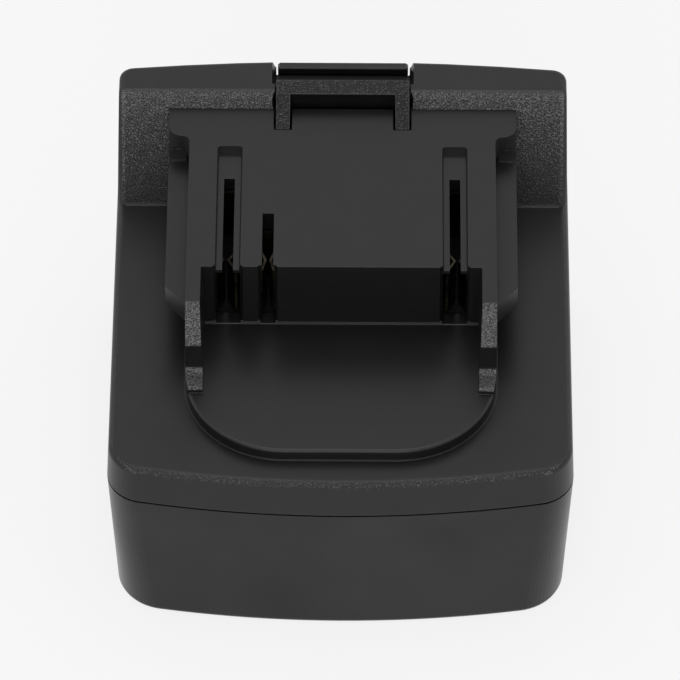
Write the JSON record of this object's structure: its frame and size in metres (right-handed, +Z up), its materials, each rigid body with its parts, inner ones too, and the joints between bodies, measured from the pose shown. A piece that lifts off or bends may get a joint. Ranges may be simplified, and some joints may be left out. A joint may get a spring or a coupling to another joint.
{
  "type": "tool battery adapter",
  "caption": "Black slide-rail adapter housing that lets a tool accept another system's battery, with a sprung latch, contact slots and a battery bay underneath.",
  "frame": {"origin": "centre of the bounding box at the bottom rim, in the plane the housing stands on", "axes": "+X to the right as seen from the pad end, +Y along the rails from the pad end to the hood, +Z up"},
  "size_m": [0.0822, 0.086, 0.0578],
  "materials": {
    "shell_plastic": "satin, polished front",
    "cover_plastic": "satin, fine spark texture on the hood",
    "deck_plastic": "satin, textured ears",
    "latch_plastic": "fine texture",
    "button_plastic": "polished",
    "insulator": "moulded",
    "contact_brass": "rolled sheet",
    "tinned_blade": "tin plated",
    "spring_steel": "drawn wire",
    "screw_steel": "zinc plated",
    "red_insulation": "smooth",
    "black_insulation": "smooth",
    "white_insulation": "smooth",
    "shrink_sleeve": "shrunk"
  },
  "bodies": {
    "housing": {"lower_shell": "shell_plastic", "top_cover": "cover_plastic", "slide_deck": "deck_plastic", "contact_block": "insulator", "positive_clip": "contact_brass", "negative_clip": "contact_brass", "signal_clip": "contact_brass", "left_spring": "spring_steel", "right_spring": "spring_steel", "terminal_block": "insulator", "positive_blade": "tinned_blade", "negative_blade": "tinned_blade", "signal_blade": "tinned_blade", "positive_wire": "red_insulation", "negative_wire": "black_insulation", "signal_wire": "white_insulation", "wire_sleeves": "shrink_sleeve", "case_screws": "screw_steel", "deck_screws": "screw_steel", "terminal_screws": "screw_steel"},
    "latch": {"latch_slider": "latch_plastic", "release_button": "button_plastic"}
  },
  "joints": [
    {"name": "latch_press", "type": "slide", "parent": "housing", "child": "latch", "axis": [0, 0, -1], "range_m": [0, 0.004], "stiffness_N_per_m": 1500, "springref_m": -0.002, "deforming": ["left_spring", "right_spring"]}
  ]
}
